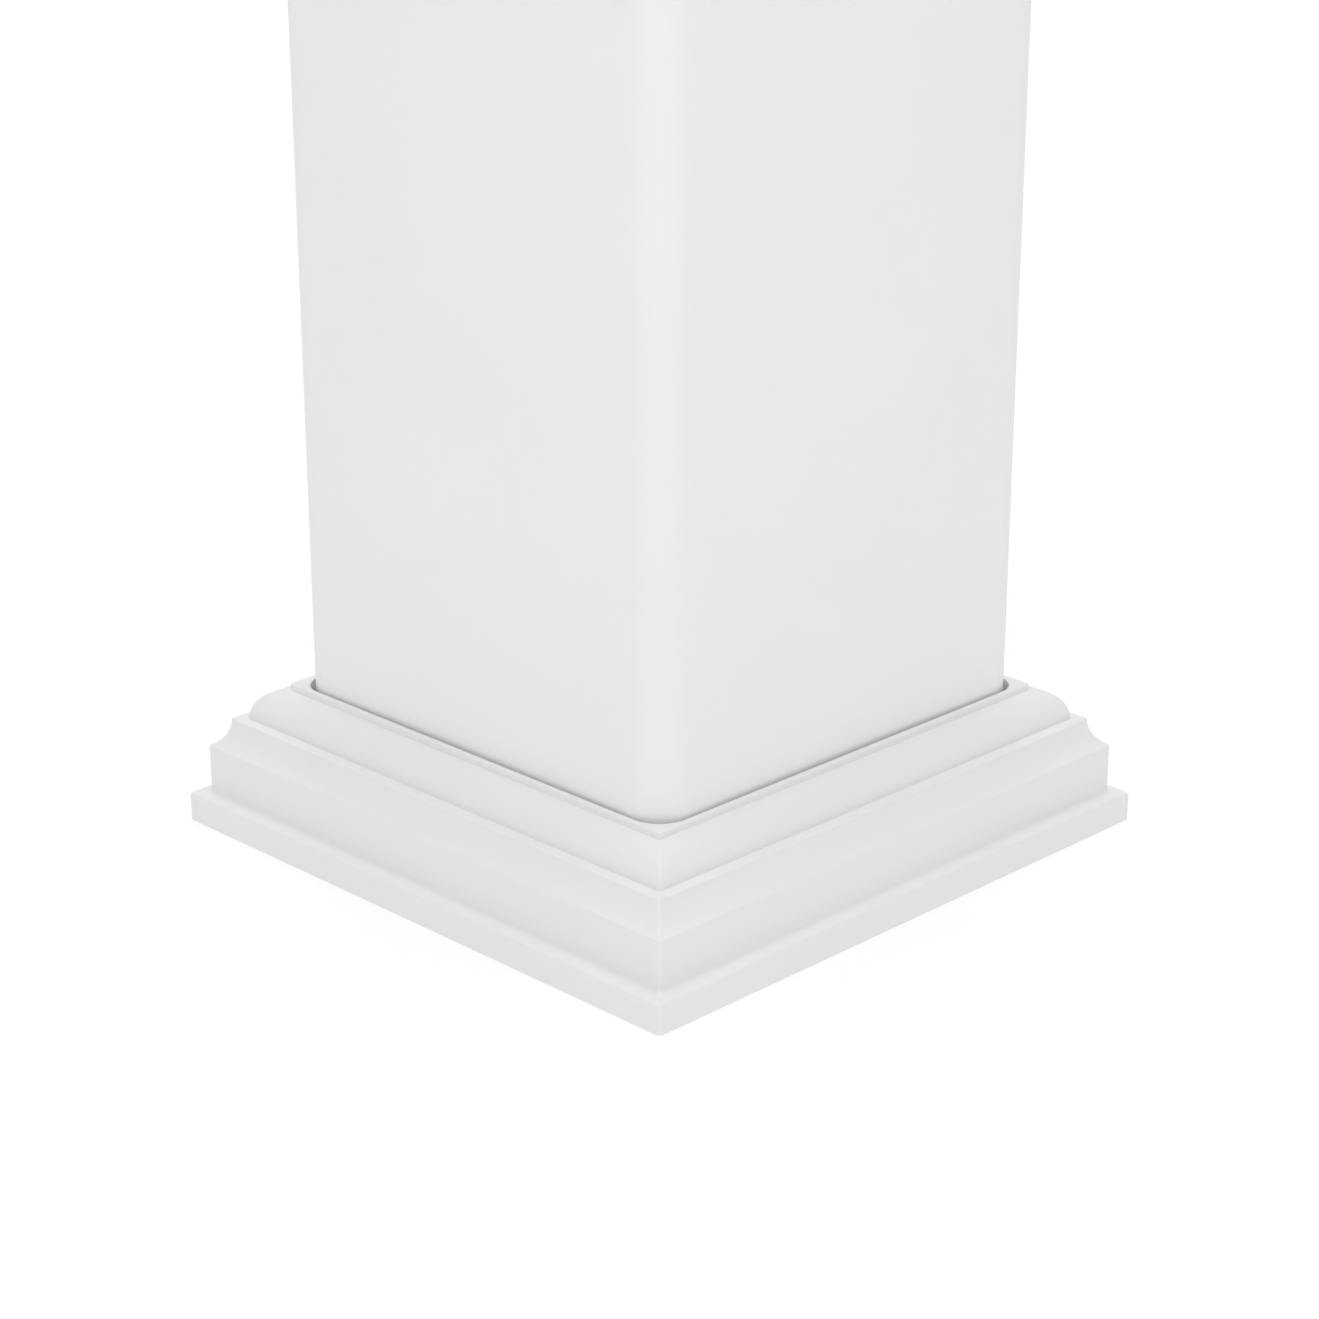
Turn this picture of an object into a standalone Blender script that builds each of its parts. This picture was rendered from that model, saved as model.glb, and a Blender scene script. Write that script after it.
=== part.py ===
"""Deck post sleeve: a square hollow sleeve for a timber post, standing in a moulded base skirt.

Metres, +Z up. The origin is the middle of the foot, and the faces look along X and Y.
Run with: blender --background --python part.py
"""
import math

import bmesh
import bpy

# Sleeve
SLEEVE_SIDE = 0.113
SLEEVE_LENGTH = 0.991
SLEEVE_WALL = 0.005
SLEEVE_CORNER_RADIUS = 0.008
SLEEVE_INSIDE_RADIUS = 0.0025
CUT_EASE = 0.0004

# Skirt, plan: each width is added outward from the sleeve's face
SKIRT_CLEARANCE = 0.0006
LIP_WIDTH = 0.0013
OVOLO_WIDTH = 0.0068
FILLET_WIDTH = 0.00265
COVE_WIDTH = 0.00375
PLINTH_LEDGE = 0.0036

# Skirt, elevation: each height is added upward from the foot
PLINTH_HEIGHT = 0.0068
FACE_HEIGHT = 0.0113
COVE_HEIGHT = 0.0065
QUIRK_HEIGHT = 0.0003
OVOLO_HEIGHT = 0.0066
LIP_HEIGHT = 0.0015

# Skirt, wall and corners
SKIRT_WALL = 0.0025
MOULDED_EASE = 0.0004
BORE_TIGHTER_RADIUS = 0.0008
LIP_CORNER_RADIUS = 0.0008
OVOLO_CORNER_RADIUS = 0.001
FACE_CORNER_RADIUS = 0.0006
PLINTH_CORNER_RADIUS = 0.001
HOLLOW_CORNER_RADIUS = 0.0008

# Fineness of the round parts
CORNER_SEGMENTS = 8
PROFILE_SEGMENTS = 8
SMOOTH_ANGLE = math.radians(30)
WELD_DISTANCE = 0.00001

# Finish
SLEEVE_COLOUR = (0.9, 0.9, 0.89)
SLEEVE_ROUGHNESS = 0.42
SKIRT_COLOUR = (0.89, 0.89, 0.88)
SKIRT_ROUGHNESS = 0.5

COLLECTION_NAME = "deck_post_sleeve"

# The skirt's half sides, from the bore outward
BORE_HALF = SLEEVE_SIDE / 2 + SKIRT_CLEARANCE
LIP_HALF = BORE_HALF + LIP_WIDTH
OVOLO_HALF = LIP_HALF + OVOLO_WIDTH
FILLET_HALF = OVOLO_HALF + FILLET_WIDTH
FACE_HALF = FILLET_HALF + COVE_WIDTH
PLINTH_HALF = FACE_HALF + PLINTH_LEDGE

# The heights at which its mouldings end, from the foot up
PLINTH_TOP = PLINTH_HEIGHT
FACE_TOP = PLINTH_TOP + FACE_HEIGHT
COVE_TOP = FACE_TOP + COVE_HEIGHT
QUIRK_TOP = COVE_TOP + QUIRK_HEIGHT
OVOLO_TOP = QUIRK_TOP + OVOLO_HEIGHT
LIP_TOP = OVOLO_TOP + LIP_HEIGHT

# The bore follows the sleeve's round corners, while the lip is nearly square outside
BORE_RADIUS = SLEEVE_CORNER_RADIUS - BORE_TIGHTER_RADIUS

# The cove is an arc that ends upright under the fillet, this far out and up from its centre
COVE_RADIUS = (COVE_HEIGHT ** 2 + COVE_WIDTH ** 2) / (2 * COVE_WIDTH)


def rounded_square(half_side, radius):
    """Plan points of a square with round corners, anticlockwise from the +X side."""
    points = []
    centre = half_side - radius
    for corner in range(4):
        start = corner * math.pi / 2
        middle = start + math.pi / 4
        centre_x = math.copysign(centre, math.cos(middle))
        centre_y = math.copysign(centre, math.sin(middle))
        for step in range(CORNER_SEGMENTS + 1):
            angle = start + step / CORNER_SEGMENTS * math.pi / 2
            points.append((centre_x + radius * math.cos(angle), centre_y + radius * math.sin(angle)))
    return points


def arc_angles(first, last):
    """Evenly spaced angles along an arc of the moulding, both ends included."""
    return [first + (last - first) * step / PROFILE_SEGMENTS for step in range(PROFILE_SEGMENTS + 1)]


def plain_material(name, colour, roughness):
    material = bpy.data.materials.new(name)
    material.use_nodes = True
    shader = material.node_tree.nodes["Principled BSDF"]
    shader.inputs["Base Color"].default_value = (*colour, 1.0)
    shader.inputs["Roughness"].default_value = roughness
    shader.inputs["Metallic"].default_value = 0.0
    return material


def add_object(name, mesh, material, collection):
    mesh.materials.clear()
    mesh.materials.append(material)
    mesh.shade_smooth()
    mesh.set_sharp_from_angle(angle=SMOOTH_ANGLE)
    piece = bpy.data.objects.new(name, mesh)
    collection.objects.link(piece)
    return piece


def add_outline(curve, points):
    """Adds one closed outline to a flat curve."""
    spline = curve.splines.new("POLY")
    spline.points.add(len(points) - 1)
    for point, (x, y) in zip(spline.points, points):
        point.co = (x, y, 0.0, 1.0)
    spline.use_cyclic_u = True


def make_sleeve(collection):
    """The extruded tube: an outer and an inner outline, with both saw-cut ends slightly eased."""
    half_side = SLEEVE_SIDE / 2
    curve = bpy.data.curves.new("sleeve_section", "CURVE")
    curve.dimensions = "2D"
    curve.fill_mode = "BOTH"
    curve.extrude = SLEEVE_LENGTH / 2 - CUT_EASE
    curve.bevel_depth = CUT_EASE
    curve.bevel_resolution = 0
    curve.offset = -CUT_EASE
    add_outline(curve, rounded_square(half_side, SLEEVE_CORNER_RADIUS))
    inside = rounded_square(half_side - SLEEVE_WALL, SLEEVE_INSIDE_RADIUS)
    add_outline(curve, inside[::-1])

    section = bpy.data.objects.new("sleeve_section", curve)
    section.location.z = SLEEVE_LENGTH / 2
    collection.objects.link(section)
    bpy.context.view_layer.update()
    evaluated = section.evaluated_get(bpy.context.evaluated_depsgraph_get())
    mesh = bpy.data.meshes.new_from_object(evaluated)
    mesh.name = "sleeve"

    shape = bmesh.new()
    shape.from_mesh(mesh)
    bmesh.ops.remove_doubles(shape, verts=shape.verts, dist=WELD_DISTANCE)
    bmesh.ops.recalc_face_normals(shape, faces=shape.faces)
    shape.to_mesh(mesh)
    shape.free()

    white = plain_material("sleeve_white", SLEEVE_COLOUR, SLEEVE_ROUGHNESS)
    sleeve = add_object("sleeve", mesh, white, collection)
    sleeve.matrix_world = section.matrix_world
    bpy.data.objects.remove(section)


def skirt_outside():
    """The show side from the foot up to the lip, as sections (half side, corner radius, height)."""
    sections = [
        (PLINTH_HALF, PLINTH_CORNER_RADIUS, 0.0),
        (PLINTH_HALF, PLINTH_CORNER_RADIUS, PLINTH_TOP - MOULDED_EASE),
        (PLINTH_HALF - MOULDED_EASE, PLINTH_CORNER_RADIUS, PLINTH_TOP),
        (FACE_HALF, FACE_CORNER_RADIUS, PLINTH_TOP),
    ]

    # Cove, from the top of the upright face to the fillet
    sweep = math.atan2(COVE_HEIGHT, COVE_RADIUS - COVE_WIDTH)
    for angle in arc_angles(sweep, 0.0):
        half_side = FILLET_HALF + COVE_RADIUS * (1 - math.cos(angle))
        sections.append((half_side, FACE_CORNER_RADIUS, COVE_TOP - COVE_RADIUS * math.sin(angle)))

    # Fillet, then the quarter round, whose corner sharpens towards the lip
    sections.append((OVOLO_HALF, OVOLO_CORNER_RADIUS, COVE_TOP))
    for angle in arc_angles(0.0, math.pi / 2):
        radius = LIP_CORNER_RADIUS + (OVOLO_CORNER_RADIUS - LIP_CORNER_RADIUS) * math.cos(angle)
        half_side = LIP_HALF + OVOLO_WIDTH * math.cos(angle)
        sections.append((half_side, radius, QUIRK_TOP + OVOLO_HEIGHT * math.sin(angle)))

    # Lip
    sections.append((LIP_HALF, LIP_CORNER_RADIUS, LIP_TOP - MOULDED_EASE))
    sections.append((LIP_HALF - MOULDED_EASE, LIP_CORNER_RADIUS, LIP_TOP))
    return sections


def skirt_inside():
    """The bore and the open hollow one wall behind the mouldings, from the lip down to the foot."""
    sections = [
        (BORE_HALF, BORE_RADIUS, LIP_TOP),
        (BORE_HALF, BORE_RADIUS, OVOLO_TOP - SKIRT_WALL),
    ]

    # Behind the quarter round and under the fillet
    for angle in arc_angles(math.pi / 2, 0.0):
        half_side = LIP_HALF + (OVOLO_WIDTH - SKIRT_WALL) * math.cos(angle)
        height = QUIRK_TOP + (OVOLO_HEIGHT - SKIRT_WALL) * math.sin(angle)
        sections.append((half_side, HOLLOW_CORNER_RADIUS, height))
    sections.append((OVOLO_HALF - SKIRT_WALL, HOLLOW_CORNER_RADIUS, COVE_TOP - SKIRT_WALL))

    # Behind the cove, an arc with the same centre
    radius = COVE_RADIUS + SKIRT_WALL
    first = math.asin(SKIRT_WALL / radius)
    last = math.acos((COVE_RADIUS - COVE_WIDTH + SKIRT_WALL) / radius)
    for angle in arc_angles(first, last):
        half_side = FILLET_HALF + COVE_RADIUS - radius * math.cos(angle)
        sections.append((half_side, HOLLOW_CORNER_RADIUS, COVE_TOP - radius * math.sin(angle)))

    # Behind the upright face and the plinth
    sections.append((FACE_HALF - SKIRT_WALL, HOLLOW_CORNER_RADIUS, PLINTH_TOP - SKIRT_WALL))
    sections.append((PLINTH_HALF - SKIRT_WALL, HOLLOW_CORNER_RADIUS, PLINTH_TOP - SKIRT_WALL))
    sections.append((PLINTH_HALF - SKIRT_WALL, HOLLOW_CORNER_RADIUS, 0.0))
    return sections


def make_skirt(collection):
    """The one-piece moulded ring, a loft because its corners have several radii, roundest in the bore."""
    shape = bmesh.new()
    rings = []
    for half_side, radius, height in skirt_outside() + skirt_inside():
        rings.append([shape.verts.new((x, y, height)) for x, y in rounded_square(half_side, radius)])
    for near, far in zip(rings, rings[1:] + rings[:1]):
        for step in range(len(near)):
            ahead = (step + 1) % len(near)
            shape.faces.new((near[step], near[ahead], far[ahead], far[step]))
    mesh = bpy.data.meshes.new("base_skirt")
    shape.to_mesh(mesh)
    shape.free()
    white = plain_material("skirt_white", SKIRT_COLOUR, SKIRT_ROUGHNESS)
    add_object("base_skirt", mesh, white, collection)


def main():
    for leftover in list(bpy.data.objects):
        bpy.data.objects.remove(leftover)
    collection = bpy.data.collections.new(COLLECTION_NAME)
    bpy.context.scene.collection.children.link(collection)
    make_sleeve(collection)
    make_skirt(collection)


main()
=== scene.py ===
import math

import bmesh
import bpy
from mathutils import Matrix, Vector


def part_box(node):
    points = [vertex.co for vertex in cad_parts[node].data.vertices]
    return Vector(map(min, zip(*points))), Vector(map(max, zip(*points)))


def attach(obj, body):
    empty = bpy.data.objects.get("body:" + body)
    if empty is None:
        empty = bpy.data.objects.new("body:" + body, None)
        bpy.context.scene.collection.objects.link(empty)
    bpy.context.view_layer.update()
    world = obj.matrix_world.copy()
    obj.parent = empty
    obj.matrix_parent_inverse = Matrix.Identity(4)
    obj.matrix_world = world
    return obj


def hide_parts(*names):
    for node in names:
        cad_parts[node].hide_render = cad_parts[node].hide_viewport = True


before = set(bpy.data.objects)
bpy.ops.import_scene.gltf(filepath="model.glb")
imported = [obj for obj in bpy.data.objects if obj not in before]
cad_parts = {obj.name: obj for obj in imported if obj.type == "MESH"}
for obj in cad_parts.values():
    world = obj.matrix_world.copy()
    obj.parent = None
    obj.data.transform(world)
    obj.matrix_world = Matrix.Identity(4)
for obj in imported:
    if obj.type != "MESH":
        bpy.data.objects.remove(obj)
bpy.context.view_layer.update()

# The two CAD pieces, in metres
SLEEVE_HALF, _, SLEEVE_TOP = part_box("sleeve")[1]
PLINTH_HALF, _, LIP_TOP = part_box("base_skirt")[1]

# Sleeve
SLEEVE_WALL = 0.005
SLEEVE_CORNER = 0.008
SLEEVE_INSIDE_CORNER = 0.0025
SLEEVE_FACE_HOLLOW = 0.00022
CUT_ROUNDING = 0.0004

# Skirt, widths inward from the plinth and heights down from the lip
PLINTH_LEDGE = 0.0036
COVE_WIDTH = 0.00375
FILLET_WIDTH = 0.00265
OVOLO_WIDTH = 0.0068
LIP_WIDTH = 0.0013
LIP_HEIGHT = 0.0015
OVOLO_HEIGHT = 0.0066
QUIRK_HEIGHT = 0.0003
COVE_HEIGHT = 0.0065
FACE_HEIGHT = 0.0113
SKIRT_WALL = 0.0025

# Skirt, plan radius of its corners
BORE_CORNER = 0.0072
LIP_CORNER = 0.0008
OVOLO_CORNER = 0.001
FACE_CORNER = 0.0006
PLINTH_CORNER = 0.001
HOLLOW_CORNER = 0.0008

# Skirt, roundings of the edges that run along the mouldings
PLINTH_ROUNDING = 0.0010
ARRIS_ROUNDING = 0.0006
LIP_ROUNDING = 0.0004
INNER_ROUNDING = 0.0014
FOOT_ROUNDING = 0.0003

# Fineness; a rounding takes at most this share of the straight stretches beside it
CORNER_STEPS = 20
SIDE_STEPS = 24
ARC_STEPS = 24
ROUNDING_STEPS = 5
ROUNDING_SHARE = 0.45
LEAST_ROUNDING = 0.000001
SHARP_ANGLE = math.radians(40)

# Camera, in the photo's frame: an aim point on the axis, seen corner-on from above
CAMERA_AZIMUTH = math.radians(45)
CAMERA_PITCH = math.radians(20.72)
CAMERA_DISTANCE = 0.7063
CAMERA_AIM_HEIGHT = 0.03865
PHOTO_PIXELS = 1319
FOCAL_PIXELS = 3177
SENSOR_WIDTH = 36.0
CLIP_START = 0.01
CLIP_END = 100.0

# Sleeve's plastic, drawn out upwards by the extrusion; grain and waves as (cell, depth)
SLEEVE_WHITE = 0.915
SLEEVE_ROUGHNESS = 0.42
SLEEVE_STRETCH = (1.0, 1.0, 0.02)
SLEEVE_GRAIN = (0.0016, 0.000004)
SLEEVE_WAVES = (0.02, 0.00004)

# Skirt's plastic, with the even grain of a mould
SKIRT_WHITE = 0.88
SKIRT_ROUGHNESS = 0.5
SKIRT_STRETCH = (1.0, 1.0, 1.0)
SKIRT_GRAIN = (0.0006, 0.00001)
SKIRT_WAVES = (0.012, 0.00003)

# Both plastics: a noise's usual reach, faint cloudy patches, and how much tone and gloss vary
NOISE_LOW = 0.3
NOISE_HIGH = 0.7
GRAIN_DETAIL = 3
WAVES_DETAIL = 2
MOTTLE_DETAIL = 4
MOTTLE_CELL = 0.045
TONE_SPREAD = 0.006
GLOSS_SPREAD = 0.04

# Studio: a white floor that glows a little, under a sky that is brightest at the horizon
FLOOR_SIZE = 80.0
FLOOR_ALBEDO = 0.6
FLOOR_GLOW = 0.446
SKY_HORIZON = 0.715
SKY_ABOVE = 0.431
SKY_BAND_TOP = math.sin(math.radians(30))


def plan_outline(half_side, radius, hollow):
    """Points round a square with round corners, whose sides draw in by hollow at their middle."""
    points = []
    straight = half_side - radius
    for side in range(4):
        turn = side * math.pi / 2
        local = []
        for step in range(CORNER_STEPS + 1):
            angle = -math.pi / 2 + step / CORNER_STEPS * math.pi / 2
            local.append((straight + radius * math.cos(angle), radius * math.sin(angle) - straight))
        for step in range(1, SIDE_STEPS):
            along = 2 * step / SIDE_STEPS - 1
            local.append((half_side - hollow * (1 - along ** 2), straight * along))
        for x, y in local:
            points.append((x * math.cos(turn) - y * math.sin(turn), x * math.sin(turn) + y * math.cos(turn)))
    return points


def loft(name, sections):
    """A closed ring through sections (half side, corner radius, height, hollow), each joined to the next."""
    shape = bmesh.new()
    rings = []
    for half_side, radius, height, hollow in sections:
        outline = plan_outline(half_side, radius, hollow)
        rings.append([shape.verts.new((x, y, height)) for x, y in outline])
    for near, far in zip(rings, rings[1:] + rings[:1]):
        for step in range(len(near)):
            ahead = (step + 1) % len(near)
            shape.faces.new((near[step], near[ahead], far[ahead], far[step]))
    mesh = bpy.data.meshes.new(name)
    shape.to_mesh(mesh)
    shape.free()
    mesh.shade_smooth()
    mesh.set_sharp_from_angle(angle=SHARP_ANGLE)
    piece = bpy.data.objects.new(name, mesh)
    bpy.context.scene.collection.objects.link(piece)
    normals = piece.modifiers.new("flat_faces_shade_flat", "WEIGHTED_NORMAL")
    normals.keep_sharp = True
    return piece


def rounded(corners):
    """Replaces each corner (half side, height, corner radius, rounding) by a curve of about that radius."""
    path = []
    for index, (half_side, height, radius, rounding) in enumerate(corners):
        here = Vector((half_side, height))
        before = Vector(corners[index - 1][:2]) - here
        after = Vector(corners[(index + 1) % len(corners)][:2]) - here
        turn = math.pi - before.angle(after)
        room = ROUNDING_SHARE * min(before.length, after.length)
        reach = min(rounding * math.tan(turn / 2), room)
        if reach < LEAST_ROUNDING:
            path.append((half_side, radius, height))
            continue
        start = here + before.normalized() * reach
        end = here + after.normalized() * reach
        for step in range(ROUNDING_STEPS + 1):
            share = step / ROUNDING_STEPS
            point = start.lerp(here, share).lerp(here.lerp(end, share), share)
            path.append((point.x, radius, point.y))
    return path


def arc_angles(first, last):
    """Evenly spaced angles along an arc of the moulding, both ends included."""
    return [first + (last - first) * step / ARC_STEPS for step in range(ARC_STEPS + 1)]


def make_sleeve():
    """The extruded tube, with slightly hollow faces and eased saw cuts at both ends."""
    inside = SLEEVE_HALF - SLEEVE_WALL
    corners = [
        (SLEEVE_HALF, 0.0, SLEEVE_CORNER, CUT_ROUNDING),
        (SLEEVE_HALF, SLEEVE_TOP, SLEEVE_CORNER, CUT_ROUNDING),
        (inside, SLEEVE_TOP, SLEEVE_INSIDE_CORNER, CUT_ROUNDING),
        (inside, 0.0, SLEEVE_INSIDE_CORNER, CUT_ROUNDING),
    ]
    sections = [(half, radius, height, SLEEVE_FACE_HOLLOW) for half, radius, height in rounded(corners)]
    return loft("post_sleeve", sections)


def skirt_corners():
    """The skirt's closed profile: up the show side, over the lip and down the hollow side."""
    face = PLINTH_HALF - PLINTH_LEDGE
    fillet = face - COVE_WIDTH
    ovolo = fillet - FILLET_WIDTH
    lip = ovolo - OVOLO_WIDTH
    bore = lip - LIP_WIDTH
    ovolo_top = LIP_TOP - LIP_HEIGHT
    quirk_top = ovolo_top - OVOLO_HEIGHT
    cove_top = quirk_top - QUIRK_HEIGHT
    face_top = cove_top - COVE_HEIGHT
    plinth_top = face_top - FACE_HEIGHT

    corners = [
        (PLINTH_HALF, 0.0, PLINTH_CORNER, FOOT_ROUNDING),
        (PLINTH_HALF, plinth_top, PLINTH_CORNER, PLINTH_ROUNDING),
        (face, plinth_top, FACE_CORNER, INNER_ROUNDING),
    ]

    # Cove
    cove_radius = (COVE_HEIGHT ** 2 + COVE_WIDTH ** 2) / (2 * COVE_WIDTH)
    sweep = math.atan2(COVE_HEIGHT, cove_radius - COVE_WIDTH)
    for angle in arc_angles(sweep, 0.0):
        half_side = fillet + cove_radius * (1 - math.cos(angle))
        height = cove_top - cove_radius * math.sin(angle)
        edge = angle in (sweep, 0.0)
        corners.append((half_side, height, FACE_CORNER, ARRIS_ROUNDING if edge else 0))

    # Fillet and quarter round, whose corner sharpens towards the lip
    corners.append((ovolo, cove_top, OVOLO_CORNER, INNER_ROUNDING))
    for angle in arc_angles(0.0, math.pi / 2):
        radius = LIP_CORNER + (OVOLO_CORNER - LIP_CORNER) * math.cos(angle)
        half_side = lip + OVOLO_WIDTH * math.cos(angle)
        corners.append((half_side, quirk_top + OVOLO_HEIGHT * math.sin(angle), radius, 0))

    # Lip and bore
    corners.append((lip, LIP_TOP, LIP_CORNER, LIP_ROUNDING))
    corners.append((bore, LIP_TOP, BORE_CORNER, FOOT_ROUNDING))
    corners.append((bore, ovolo_top - SKIRT_WALL, BORE_CORNER, 0))

    # Hollow side, one wall behind
    for angle in arc_angles(math.pi / 2, 0.0):
        half_side = lip + (OVOLO_WIDTH - SKIRT_WALL) * math.cos(angle)
        height = quirk_top + (OVOLO_HEIGHT - SKIRT_WALL) * math.sin(angle)
        corners.append((half_side, height, HOLLOW_CORNER, 0))
    corners.append((ovolo - SKIRT_WALL, cove_top - SKIRT_WALL, HOLLOW_CORNER, 0))
    back_radius = cove_radius + SKIRT_WALL
    first = math.asin(SKIRT_WALL / back_radius)
    last = math.acos((cove_radius - COVE_WIDTH + SKIRT_WALL) / back_radius)
    for angle in arc_angles(first, last):
        half_side = fillet + cove_radius - back_radius * math.cos(angle)
        corners.append((half_side, cove_top - back_radius * math.sin(angle), HOLLOW_CORNER, 0))
    corners.append((face - SKIRT_WALL, plinth_top - SKIRT_WALL, HOLLOW_CORNER, 0))
    corners.append((PLINTH_HALF - SKIRT_WALL, plinth_top - SKIRT_WALL, HOLLOW_CORNER, 0))
    corners.append((PLINTH_HALF - SKIRT_WALL, 0.0, HOLLOW_CORNER, FOOT_ROUNDING))
    return corners


def make_skirt():
    """The moulded ring, one closed shell."""
    sections = [(half, radius, height, 0.0) for half, radius, height in rounded(skirt_corners())]
    return loft("moulded_skirt", sections)


def grey(value):
    return (value, value, value, 1.0)


def new_material(name):
    material = bpy.data.materials.new(name)
    material.use_nodes = True
    return material, material.node_tree.nodes["Principled BSDF"]


def add_noise(tree, place, cell, detail):
    """Smooth noise whose features are about one cell across, in metres along the stretched axes of place."""
    noise = tree.nodes.new("ShaderNodeTexNoise")
    noise.inputs["Scale"].default_value = 1 / cell
    noise.inputs["Detail"].default_value = detail
    tree.links.new(place, noise.inputs["Vector"])
    return noise.outputs["Fac"]


def add_range(tree, value, low, high):
    """Maps a noise's usual reach onto low to high."""
    spread = tree.nodes.new("ShaderNodeMapRange")
    spread.inputs["From Min"].default_value = NOISE_LOW
    spread.inputs["From Max"].default_value = NOISE_HIGH
    spread.inputs["To Min"].default_value = low
    spread.inputs["To Max"].default_value = high
    tree.links.new(value, spread.inputs["Value"])
    return spread.outputs["Result"]


def add_bump(tree, value, depth, under):
    """Relief of depth metres, laid over the normal of an earlier bump if there is one."""
    bump = tree.nodes.new("ShaderNodeBump")
    bump.inputs["Distance"].default_value = depth
    tree.links.new(value, bump.inputs["Height"])
    if under is not None:
        tree.links.new(under, bump.inputs["Normal"])
    return bump.outputs["Normal"]


def plastic(name, white, roughness, stretch, grain, waves):
    """Satin white plastic with a fine grain, slow waves and faint patches; a small stretch draws it out."""
    material, shader = new_material(name)
    tree = material.node_tree
    coordinates = tree.nodes.new("ShaderNodeTexCoord")
    mapping = tree.nodes.new("ShaderNodeMapping")
    mapping.inputs["Scale"].default_value = stretch
    tree.links.new(coordinates.outputs["Object"], mapping.inputs["Vector"])
    place = mapping.outputs["Vector"]
    grain_cell, grain_depth = grain
    waves_cell, waves_depth = waves
    fine = add_noise(tree, place, grain_cell, GRAIN_DETAIL)
    broad = add_noise(tree, place, waves_cell, WAVES_DETAIL)
    mottle = add_noise(tree, coordinates.outputs["Object"], MOTTLE_CELL, MOTTLE_DETAIL)

    tone = tree.nodes.new("ShaderNodeMix")
    tone.data_type = "RGBA"
    tone.inputs["A"].default_value = grey(white - TONE_SPREAD)
    tone.inputs["B"].default_value = grey(white + TONE_SPREAD)
    tree.links.new(add_range(tree, mottle, 0.0, 1.0), tone.inputs["Factor"])
    tree.links.new(tone.outputs["Result"], shader.inputs["Base Color"])

    gloss = add_range(tree, fine, roughness - GLOSS_SPREAD, roughness + GLOSS_SPREAD)
    tree.links.new(gloss, shader.inputs["Roughness"])
    wavy = add_bump(tree, broad, waves_depth, None)
    tree.links.new(add_bump(tree, fine, grain_depth, wavy), shader.inputs["Normal"])
    return material


def add_camera():
    data = bpy.data.cameras.new("photo_camera")
    data.sensor_width = SENSOR_WIDTH
    data.lens = FOCAL_PIXELS / PHOTO_PIXELS * data.sensor_width
    data.clip_start = CLIP_START
    data.clip_end = CLIP_END
    camera = bpy.data.objects.new("photo_camera", data)
    back = Vector((
        math.sin(CAMERA_AZIMUTH) * math.cos(CAMERA_PITCH),
        -math.cos(CAMERA_AZIMUTH) * math.cos(CAMERA_PITCH),
        math.sin(CAMERA_PITCH),
    ))
    aim = Vector((0.0, 0.0, CAMERA_AIM_HEIGHT))
    camera.location = aim + back * CAMERA_DISTANCE
    camera.rotation_mode = "QUATERNION"
    camera.rotation_quaternion = (-back).to_track_quat("-Z", "Y")
    bpy.context.scene.collection.objects.link(camera)
    bpy.context.scene.camera = camera


def add_area_light(name, azimuth, elevation, distance, size, power, aim_height):
    """A square softbox that looks at the object's axis; angles in degrees, azimuth as the camera's."""
    data = bpy.data.lights.new(name, "AREA")
    data.shape = "SQUARE"
    data.size = size
    data.energy = power
    light = bpy.data.objects.new(name, data)
    turn, rise = math.radians(azimuth), math.radians(elevation)
    back = Vector((math.sin(turn) * math.cos(rise), -math.cos(turn) * math.cos(rise), math.sin(rise)))
    light.location = Vector((0, 0, aim_height)) + back * distance
    light.rotation_mode = "QUATERNION"
    light.rotation_quaternion = (-back).to_track_quat("-Z", "Y")
    light.visible_camera = False
    bpy.context.scene.collection.objects.link(light)


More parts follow.
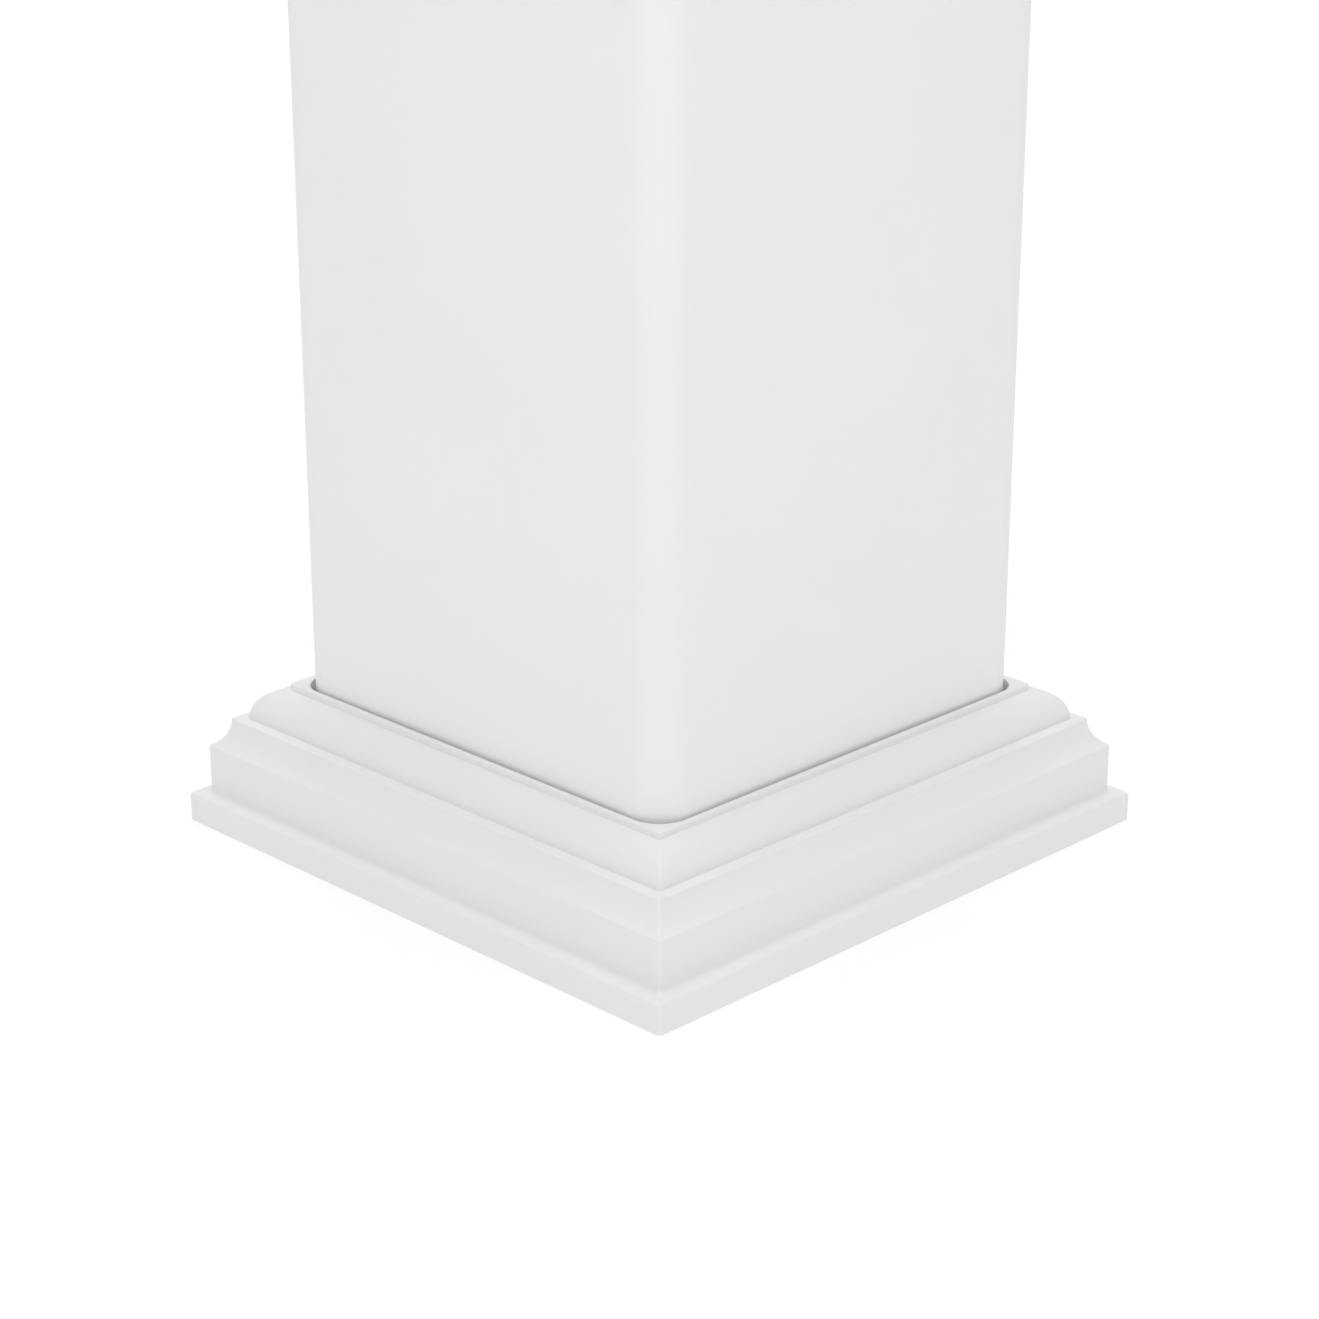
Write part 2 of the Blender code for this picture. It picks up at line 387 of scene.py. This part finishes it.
def add_floor():
    bpy.ops.mesh.primitive_plane_add(size=FLOOR_SIZE)
    floor = bpy.context.object
    floor.name = "studio_floor"
    material, shader = new_material("studio_floor_white")
    shader.inputs["Base Color"].default_value = grey(FLOOR_ALBEDO)
    shader.inputs["Roughness"].default_value = 1.0
    shader.inputs["Specular IOR Level"].default_value = 0.0
    shader.inputs["Emission Color"].default_value = grey(1.0)
    shader.inputs["Emission Strength"].default_value = FLOOR_GLOW
    floor.data.materials.append(material)


def add_world():
    """White light from all round, strongest at the horizon, where it meets the floor's own brightness."""
    world = bpy.data.worlds.new("studio")
    bpy.context.scene.world = world
    world.use_nodes = True
    tree = world.node_tree
    background = tree.nodes["Background"]
    background.inputs["Color"].default_value = grey(1.0)
    direction = tree.nodes.new("ShaderNodeTexCoord")
    parts = tree.nodes.new("ShaderNodeSeparateXYZ")
    tree.links.new(direction.outputs["Generated"], parts.inputs["Vector"])
    fade = tree.nodes.new("ShaderNodeMapRange")
    fade.inputs["From Min"].default_value = 0.0
    fade.inputs["From Max"].default_value = SKY_BAND_TOP
    fade.inputs["To Min"].default_value = SKY_HORIZON
    fade.inputs["To Max"].default_value = SKY_ABOVE
    tree.links.new(parts.outputs["Z"], fade.inputs["Value"])
    tree.links.new(fade.outputs["Result"], background.inputs["Strength"])


bpy.context.scene.view_settings.view_transform = "Standard"
add_camera()
add_floor()
add_world()
add_area_light(
    "overhead_softbox", azimuth=45, elevation=88, distance=6.0, size=4.4, power=162, aim_height=0.1,
)
add_area_light(
    "back_softbox", azimuth=225, elevation=62, distance=6.0, size=5.2, power=48, aim_height=0.0,
)
add_area_light(
    "front_softbox", azimuth=45, elevation=30, distance=0.7, size=0.35, power=0.58, aim_height=0.1,
)

sleeve = make_sleeve()
sleeve.data.materials.append(plastic(
    "sleeve_plastic", SLEEVE_WHITE, SLEEVE_ROUGHNESS, SLEEVE_STRETCH, SLEEVE_GRAIN, SLEEVE_WAVES,
))
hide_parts("sleeve")
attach(sleeve, "root")

skirt = make_skirt()
skirt.data.materials.append(plastic(
    "skirt_plastic", SKIRT_WHITE, SKIRT_ROUGHNESS, SKIRT_STRETCH, SKIRT_GRAIN, SKIRT_WAVES,
))
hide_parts("base_skirt")
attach(skirt, "root")
